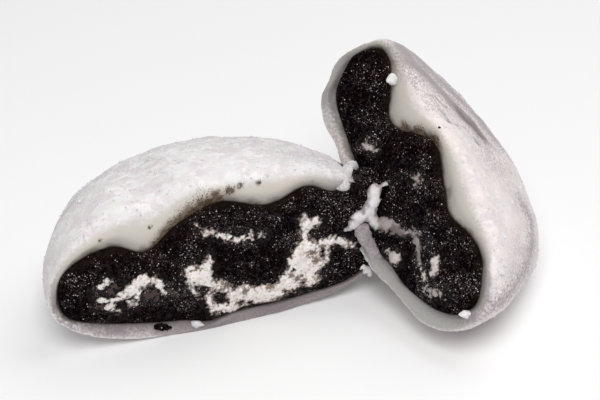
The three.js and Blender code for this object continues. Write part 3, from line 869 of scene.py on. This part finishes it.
def skin_material():
    """Starch powder over milky rice dough, with the dark filling showing through at its border. Shade is
    painted in as well: mottled grey towards the back of the dome, grey patches, dark creases, and, in
    part, darker dough near the filling and underneath.
    """
    made, tree, shader = new_material("starched_rice_skin")
    shown = ("back_shade", "right", "dust", "grey", "edge", "stain")
    back_shade, right, dust, grey, edge, stain = (mark(tree, name) for name in shown)
    cloud = noise(tree, 3.5, 3.0)
    patch = noise(tree, 1.6, 4.0, 0.6)
    fine = noise(tree, 0.45, 3.0)
    dots = noise(tree, 0.2, 2.0)
    powder = blend(tree, between(tree, cloud, 0.38, 0.62), (0.75, 0.69, 0.71), (0.81, 0.80, 0.795))
    powder = blend(tree, between(tree, patch, 0.48, 0.66, 0.0, 0.8), powder, (0.91, 0.875, 0.88))
    powder = blend(tree, between(tree, dots, 0.58, 0.7, 0.0, 0.5), powder, (0.95, 0.93, 0.93))
    # Painted shade: mottled dark grey over the powder, growing towards the back of the dome where it turns
    # from the light.
    thin = times(tree, back_shade, between(tree, patch, 0.35, 0.6, 1.0, 0.35))
    amount = times(tree, thin, between(tree, dots, 0.38, 0.5, 0.75, 0.12))
    powder = blend(tree, amount, powder, (0.36, 0.33, 0.34))
    amount = times(tree, dust, between(tree, fine, 0.35, 0.6, 1.0, 0.5))
    powder = blend(tree, amount, powder, (0.95, 0.90, 0.905))
    amount = times(tree, right, between(tree, cloud, 0.35, 0.65, 0.1, 0.4))
    powder = blend(tree, amount, powder, (0.93, 0.75, 0.71))
    # Painted shade: the grey mark turns the skin a mottled dark grey that becomes even where the mark is
    # strong.
    mottle = between(tree, plus(tree, fine, dots), 0.88, 1.1, 1.25, 0.15)
    share = between(tree, grey, 0.55, 0.85)
    even = times(tree, share, 0.85)
    mottle = plus(tree, times(tree, mottle, minus(tree, 1.0, share)), even)
    greyed = times(tree, grey, mottle)
    # Darker towards the filling: partly the filling showing through, partly painted shade.
    near = between(tree, edge, 0.6, 3.2)
    milky = blend(tree, near, (0.50, 0.46, 0.42), (0.67, 0.63, 0.57))
    amount = between(tree, noise(tree, 6.0, 3.0), 0.4, 0.6)
    # Partly painted shade: the underside's dough is darker and pinker than the top section's.
    underside = blend(tree, amount, (0.335, 0.28, 0.30), (0.42, 0.375, 0.38))
    underside = blend(tree, right, underside, (0.41, 0.40, 0.385))
    underside = blend(tree, between(tree, dots, 0.56, 0.68, 0.0, 0.4), underside, (0.62, 0.57, 0.58))
    # Darker still near the filling on the underside: partly the filling showing through, partly painted
    # shade.
    underside = blend(tree, between(tree, edge, 0.5, 5.0, 0.6, 0.0), underside, (0.16, 0.135, 0.14))
    milky = blend(tree, times(tree, right, 0.35), milky, (0.42, 0.40, 0.355))
    dough = blend(tree, mark(tree, "cream"), underside, milky)
    worn_off = minus(tree, mark(tree, "bare"), times(tree, dust, 0.7))
    patchy = times(tree, minus(tree, fine, 0.5), 0.9)
    bare = between(tree, plus(tree, worn_off, patchy), 0.1, 0.9)
    colour = blend(tree, bare, powder, dough)
    # The painted shade of the grey mark.
    colour = blend(tree, greyed, colour, (0.24, 0.2, 0.215))
    # Painted shade in the creases.
    colour = blend(tree, mark(tree, "crease"), colour, (0.13, 0.10, 0.10))
    seep = times(tree, edge, between(tree, noise(tree, 2.2, 2.0), 0.3, 0.7, 1.7, 0.6))
    seep = times(tree, seep, between(tree, stain, 0.0, 1.0, 1.0, 0.22))
    colour = blend(tree, between(tree, seep, 0.0, 1.6, 0.85, 0.0), colour, (0.16, 0.125, 0.095))
    colour = blend(tree, between(tree, seep, 0.0, 0.65, 1.0, 0.0), colour, (0.013, 0.008, 0.0055))
    smudge = times(tree, stain, between(tree, noise(tree, 0.9, 4.0), 0.35, 0.65, 0.45, 1.3))
    colour = blend(tree, between(tree, stain, 0.1, 0.9, 0.0, 0.55), colour, (0.40, 0.31, 0.22))
    colour = blend(tree, between(tree, smudge, 0.3, 0.95, 0.0, 0.9), colour, (0.10, 0.062, 0.035))
    grit = between(tree, noise(tree, 0.28, 3.0), 0.54, 0.62)
    grit = times(tree, grit, between(tree, stain, 0.05, 0.5, 0.0, 0.85))
    colour = blend(tree, grit, colour, (0.045, 0.028, 0.018))
    tree.links.new(colour, shader.inputs["Base Color"])
    tree.links.new(between(tree, bare, 0.0, 1.0, 0.9, 0.42), shader.inputs["Roughness"])
    shader.inputs["Subsurface Weight"].default_value = 0.35
    shader.inputs["Subsurface Radius"].default_value = (1.0, 0.8, 0.6)
    shader.inputs["Subsurface Scale"].default_value = 1.6 * MM
    shader.inputs["Specular IOR Level"].default_value = 0.4
    grain = times(tree, noise(tree, 0.3, 4.0), between(tree, bare, 0.0, 1.0, 1.0, 0.15))
    bump = add(tree, "ShaderNodeBump", {"Height": grain, "Strength": 0.6, "Distance": 0.12 * MM})
    tree.links.new(bump.outputs[0], shader.inputs["Normal"])
    return made


def paste_colour(tree, browned, glinting):
    """Near-black ground sesame paste with tiny glints painted into its colour as bright specks, which crowd
    where the glint mark is high.
    """
    amount = between(tree, noise(tree, 4.0, 2.0), 0.4, 0.6)
    paste = blend(tree, amount, (0.0030, 0.0006, 0.0008), (0.0016, 0.0009, 0.0018))
    amount = between(tree, noise(tree, 0.9, 3.0), 0.52, 0.72, 0.0, 0.7)
    paste = blend(tree, amount, paste, (0.026, 0.017, 0.018))
    amount = between(tree, noise(tree, 0.3, 3.0), 0.5, 0.7, 0.0, 0.6)
    paste = blend(tree, amount, paste, (0.040, 0.027, 0.028))
    paste = blend(tree, browned, paste, (0.013, 0.008, 0.0055))
    glint_zone = plus(tree, noise(tree, 3.5, 4.0), times(tree, glinting, 0.17))
    glint_zone = between(tree, glint_zone, 0.45, 0.66, 0.03, 0.8)
    # Painted glints: two layers of bright and dim specks in the colour stand in for highlights on the grains.
    for size, most, tint in ((0.27, 0.5, (0.92, 0.86, 0.85)), (0.17, 0.95, (0.36, 0.29, 0.29))):
        where = add(tree, "ShaderNodeTexCoord").outputs["Object"]
        cells = add(tree, "ShaderNodeTexVoronoi", {"Vector": where, "Scale": 1 / (size * MM)})
        parts = add(tree, "ShaderNodeSeparateColor", {0: cells.outputs["Color"]}).outputs
        chosen = arithmetic(tree, "LESS_THAN", parts[0], times(tree, glint_zone, most))
        painted_glint = times(tree, chosen, between(tree, cells.outputs["Distance"], 0.15, 0.45, 1.0, 0.0))
        painted_glint = times(tree, painted_glint, arithmetic(tree, "POWER", parts[1], 2.4))
        paste = blend(tree, painted_glint, paste, tint)
    return paste


def filling_material():
    """Ground sesame paste, browned where it meets the skin on top."""
    made, tree, shader = new_material("black_sesame_paste")
    browned = times(tree, mark(tree, "browned"), between(tree, noise(tree, 1.2, 3.0), 0.3, 0.7, 0.4, 1.4))
    tree.links.new(paste_colour(tree, browned, mark(tree, "glinting")), shader.inputs["Base Color"])
    tree.links.new(between(tree, noise(tree, 0.5, 2.0), 0.3, 0.7, 0.5, 0.75), shader.inputs["Roughness"])
    shader.inputs["Specular IOR Level"].default_value = 0.008
    grain = noise(tree, 0.22, 3.0)
    bump = add(tree, "ShaderNodeBump", {"Height": grain, "Strength": 0.7, "Distance": 0.1 * MM})
    tree.links.new(bump.outputs[0], shader.inputs["Normal"])
    return made


def pale_material():
    """Off-white paste, stained brown in places, that breaks up into the dark paste at its edge."""
    made, tree, shader = new_material("pale_paste")
    fleck = noise(tree, 0.5, 4.0)
    patch = noise(tree, 2.0, 3.0, 0.8)
    spots = times(tree, minus(tree, noise(tree, 0.6, 4.0), 0.4), 1.7)
    spread = times(tree, spots, between(tree, mark(tree, "faint"), 0.0, 1.0, 1.0, 2.2))
    cover = plus(tree, mark(tree, "inside"), spread)
    cover = minus(tree, cover, mark(tree, "faint"))
    base = blend(tree, between(tree, patch, 0.38, 0.62), (0.97, 0.91, 0.895), (0.87, 0.80, 0.76))
    base = blend(tree, between(tree, fleck, 0.5, 0.72, 0.0, 0.5), base, (0.50, 0.42, 0.39))
    brown = plus(tree, times(tree, mark(tree, "stained"), 1.1), between(tree, fleck, 0.35, 0.65, -0.3, 0.4))
    thin = between(tree, plus(tree, cover, minus(tree, patch, 0.5)), 0.0, 0.7, 0.8, 0.0)
    brown = between(tree, arithmetic(tree, "MAXIMUM", brown, thin), 0.15, 0.95, 0.0, 0.9)
    colour = blend(tree, brown, base, (0.25, 0.185, 0.15))
    amount = between(tree, minus(tree, brown, fleck), 0.25, 0.5, 0.0, 0.8)
    colour = blend(tree, amount, colour, (0.045, 0.03, 0.024))
    smooth = blend(tree, between(tree, patch, 0.35, 0.65), (0.19, 0.155, 0.148), (0.42, 0.365, 0.358))
    colour = blend(tree, mark(tree, "soft"), colour, smooth)
    amount = between(tree, mark(tree, "faint"), 0.2, 0.95, 0.0, 1.0)
    colour = blend(tree, amount, colour, (0.07, 0.048, 0.045))
    paste = paste_colour(tree, 0.0, mark(tree, "faint"))
    colour = blend(tree, between(tree, cover, -0.2, 0.3), paste, colour)
    tree.links.new(colour, shader.inputs["Base Color"])
    shader.inputs["Roughness"].default_value = 0.75
    shader.inputs["Specular IOR Level"].default_value = 0.1
    shader.inputs["Subsurface Weight"].default_value = 0.15
    shader.inputs["Subsurface Scale"].default_value = 0.6 * MM
    bump = add(tree, "ShaderNodeBump", {"Height": fleck, "Strength": 0.45, "Distance": 0.12 * MM})
    tree.links.new(bump.outputs[0], shader.inputs["Normal"])
    return made


def floor_material():
    made, tree, shader = new_material("pale_floor")
    shade = blend(tree, noise(tree, 60, 2.0), (0.93, 0.93, 0.93), (0.95, 0.95, 0.95))
    tree.links.new(shade, shader.inputs["Base Color"])
    shader.inputs["Roughness"].default_value = 0.9
    shader.inputs["Specular IOR Level"].default_value = 0.1
    return made


# The pieces

SKIN = skin_material()
PASTE = filling_material()
PALE = pale_material()

PALE_LEFT = (
    Smear(LEFT, TOOTH + BAND + MASS + ARC, 101, 0.25, 0.3, 0, 0, BAND_HOLES, PALE_STAINS),
    Smear(LEFT, PATCH, 131, 0.3, 0.3, 0, 0.08, stains=PATCH_STAINS),
    Smear(LEFT, PATCH_VEIL, 135, 0.12, 0.5, 0, 0.98),
    Smear(LEFT, STREAK, 151, 0.2, 0.15, 0, 0.1),
    Smear(LEFT, STREAK_VEIL, 155, 0.1, 0.3, 0, 0.45),
)
PALE_RIGHT = (
    Smear(RIGHT, RIGHT_ARC, 171, 0.4, 0.2, 1.0, 0),
    Smear(RIGHT, THREAD, 176, 0.35, 0.08, 0.9, 0),
    Smear(RIGHT, LUMPS_RIGHT, 181, 0.45, 0.2, 0.6, 0.46),
    Smear(RIGHT, ROUND_LUMP, 191, 0.7, 0.12, 0.6, 0.18),
    Smear(RIGHT, DROP, 201, 0.45, 0.15, 0.4, 0),
    Smear(RIGHT, BLOTCH, 211, 0.2, 0.2, 0.7, 0.18),
    Smear(RIGHT, HIGH_VEIL, 216, 0.15, 0.4, 0, 0.55),
    Smear(RIGHT, BLOTCH_VEIL, 221, 0.1, 0.4, 0, 0.75),
    Smear(RIGHT, LOW_VEIL, 226, 0.12, 0.3, 0, 0.5),
)
# Lumps of filling in the joint, in the left half's axes: middle, radii, seed.
JOINT_LUMPS = (
    ((23.3, 3.5, 5.9), (2.7, 3.3, 3.4), 301),
    ((22.2, 1.6, 5.6), (2.6, 1.9, 2.2), 311),
    ((22.2, 3.6, 7.8), (2.3, 3.1, 2.3), 316),
    ((25.4, 5.0, 6.2), (2.3, 3.0, 2.7), 319),
    ((24.9, 3.6, 7.8), (1.7, 3.4, 1.9), 323),
)
NECK_PLACE = Place((11, 1.4, 12.2), 20, 0, 0)
NECK = [(-10, -0.8, 1, 9.4), (-5, -0.8, 0.5, 8.3), (0, 0, 0, 7.8), (5, 2, 0, 8.4), (10, 4.5, 0, 9.2)]
# Crumbs: half, spot (u, d, w), radii.
WHITE_CRUMBS = (
    (RIGHT, (-15.8, -0.3, 4.4), (0.9, 0.7, 0.9)),
    (RIGHT, (23.0, 0.0, -0.4), (1.1, 0.7, 0.7)),
    (LEFT, (-4.8, 0.1, -10.4), (1.1, 0.6, 0.6)),
    (LEFT, (22.7, -0.5, -5.5), (0.6, 0.5, 0.5)),
    (LEFT, (23.4, -0.5, -6.3), (0.65, 0.5, 0.6)),
    (LEFT, (23.9, -0.4, -7.1), (0.5, 0.4, 0.6)),
    (RIGHT, (21.3, 0.4, 5.6), (0.6, 0.3, 0.4)),
    (RIGHT, (22.3, 1.0, 5.7), (0.5, 0.3, 0.4)),
    (RIGHT, (19.9, 1.2, 7.2), (0.5, 0.3, 0.4)),
)
BLACK_CRUMBS = (
    (LEFT, (-11.1, 0.1, -9.3), (0.6, 0.5, 0.45)),
    (LEFT, (-10.5, 0, -9.4), (0.7, 0.5, 0.6)),
    (LEFT, (-9.9, 0, -9.5), (0.6, 0.5, 0.5)),
    (LEFT, (-9.3, 0.1, -9.8), (0.5, 0.4, 0.35)),
    (RIGHT, (-4.9, 0.3, 8.3), (0.22, 0.22, 0.22)),
    (RIGHT, (-13.8, 0.3, -6.0), (0.35, 0.3, 0.3)),
    (RIGHT, (-13.2, 0.3, -6.3), (0.28, 0.3, 0.28)),
    (RIGHT, (-12.6, 0.3, -5.8), (0.3, 0.3, 0.25)),
)
STARCH_COUNT = 1500

skin_left, skin_right = half_skin(LEFT), half_skin(RIGHT)
starch = [
    dusting(LEFT, skin_left, STARCH_COUNT, seed=501),
    dusting(RIGHT, skin_right, STARCH_COUNT, seed=502),
]
make_piece("skin_left", [skin_left], SKIN, ["rice_skin"])
make_piece("skin_right", [skin_right], SKIN)
make_piece("starch_grains", starch, SKIN)
make_piece("filling_left", [half_filling(LEFT)], PASTE, ["sesame_filling"])
make_piece("filling_right", [half_filling(RIGHT)], PASTE)
make_piece(
    "pale_left", [pale_smear(*smear) for smear in PALE_LEFT], PALE,
    ["pale_band_left", "pale_patch_left", "pale_thread_left"],
)
make_piece(
    "pale_right", [pale_smear(*smear) for smear in PALE_RIGHT], PALE,
    ["pale_thread_right", "pale_lump_right", "pale_drop_right"],
)
make_piece("joint_filling", [lump(LEFT.place, *shape) for shape in JOINT_LUMPS], PASTE)
make_piece(
    "torn_curl",
    [
        flap(LEFT.place, FLAP, seed=321),
        # The grey on these ropes is painted shade, strongest at the rim's start under the curl.
        laid_rope(LEFT.place, RIM_START, 36, 90, thin=0.8, seed=346, ragged=0.3, bare=1.0, grey=0.45),
        laid_rope(LEFT.place, BRIDGE, 48, 90, thin=1.0, seed=348, ragged=0.1, bare=0.3, cream=0.3, grey=0.05),
        laid_rope(LEFT.place, NOSE, 60, 90, thin=1.0, seed=352, ragged=0.06, bare=0.3, cream=0.8, grey=0.3),
        laid_rope(LEFT.place, TORN_EDGE, 28, 60, thin=0.8, seed=349, ragged=0.4),
        laid_rope(RIGHT.place, TORN_RIM, 24, 200, thin=0.9, seed=350, ragged=0.6),
    ],
    SKIN,
)
neck = laid_rope(
    NECK_PLACE, NECK, 96, 60, thin=0.95, seed=351, ragged=0.1, pressed=(LEFT, RIGHT), bare=0.22, warm=1.0
)
make_piece("joint_skin", [neck], SKIN)
make_piece("white_crumbs", [placed_crumbs(WHITE_CRUMBS, seed=361, columns=28, rows=16)], SKIN)
make_piece("black_crumbs", [placed_crumbs(BLACK_CRUMBS, seed=371, columns=24, rows=14)], PASTE)

# Floor, light and camera

FLOOR_REACH = 2
LIGHT_AIM = (0, 0, 0.015)
CAMERA_ELEVATION = 0.622
CAMERA_TARGET = (0.735, -12.1, 23.965)
CAMERA_DISTANCE = 296.5
CAMERA_LENS = 117.98
SKY_STRENGTH = 0.32


def make_floor():
    corners = [(x * FLOOR_REACH, y * FLOOR_REACH, 0) for x, y in ((-1, -1), (1, -1), (1, 1), (-1, 1))]
    mesh = bpy.data.meshes.new("floor")
    mesh.from_pydata(corners, [], [(0, 1, 2, 3)])
    mesh.materials.append(floor_material())
    floor = bpy.data.objects.new("floor", mesh)
    bpy.context.scene.collection.objects.link(floor)


def make_light(name, spot, size, watts):
    light = bpy.data.lights.new(name, "AREA")
    light.size = size
    light.energy = watts
    lamp = bpy.data.objects.new(name, light)
    lamp.location = spot
    lamp.rotation_euler = (Vector(LIGHT_AIM) - Vector(spot)).to_track_quat("-Z", "Y").to_euler()
    bpy.context.scene.collection.objects.link(lamp)


def make_camera():
    forward = Vector((0, np.cos(CAMERA_ELEVATION), -np.sin(CAMERA_ELEVATION)))
    camera = bpy.data.cameras.new("camera")
    camera.lens = CAMERA_LENS
    camera.sensor_width = 36
    camera.clip_start = 0.01
    made = bpy.data.objects.new("camera", camera)
    made.location = Vector(CAMERA_TARGET) * MM - forward * CAMERA_DISTANCE * MM
    made.rotation_euler = forward.to_track_quat("-Z", "Y").to_euler()
    bpy.context.scene.collection.objects.link(made)
    bpy.context.scene.camera = made


make_floor()
make_light("key", spot=(-0.02, -0.3, 0.5), size=0.28, watts=1.85)
make_light("overhead", spot=(0.22, 0.12, 0.5), size=0.45, watts=1.1)
world = bpy.data.worlds.new("studio")
world.use_nodes = True
sky = world.node_tree.nodes["Background"].inputs
sky["Color"].default_value = (1, 1, 1, 1)
sky["Strength"].default_value = SKY_STRENGTH
bpy.context.scene.world = world
bpy.context.scene.view_settings.view_transform = "Standard"
make_camera()
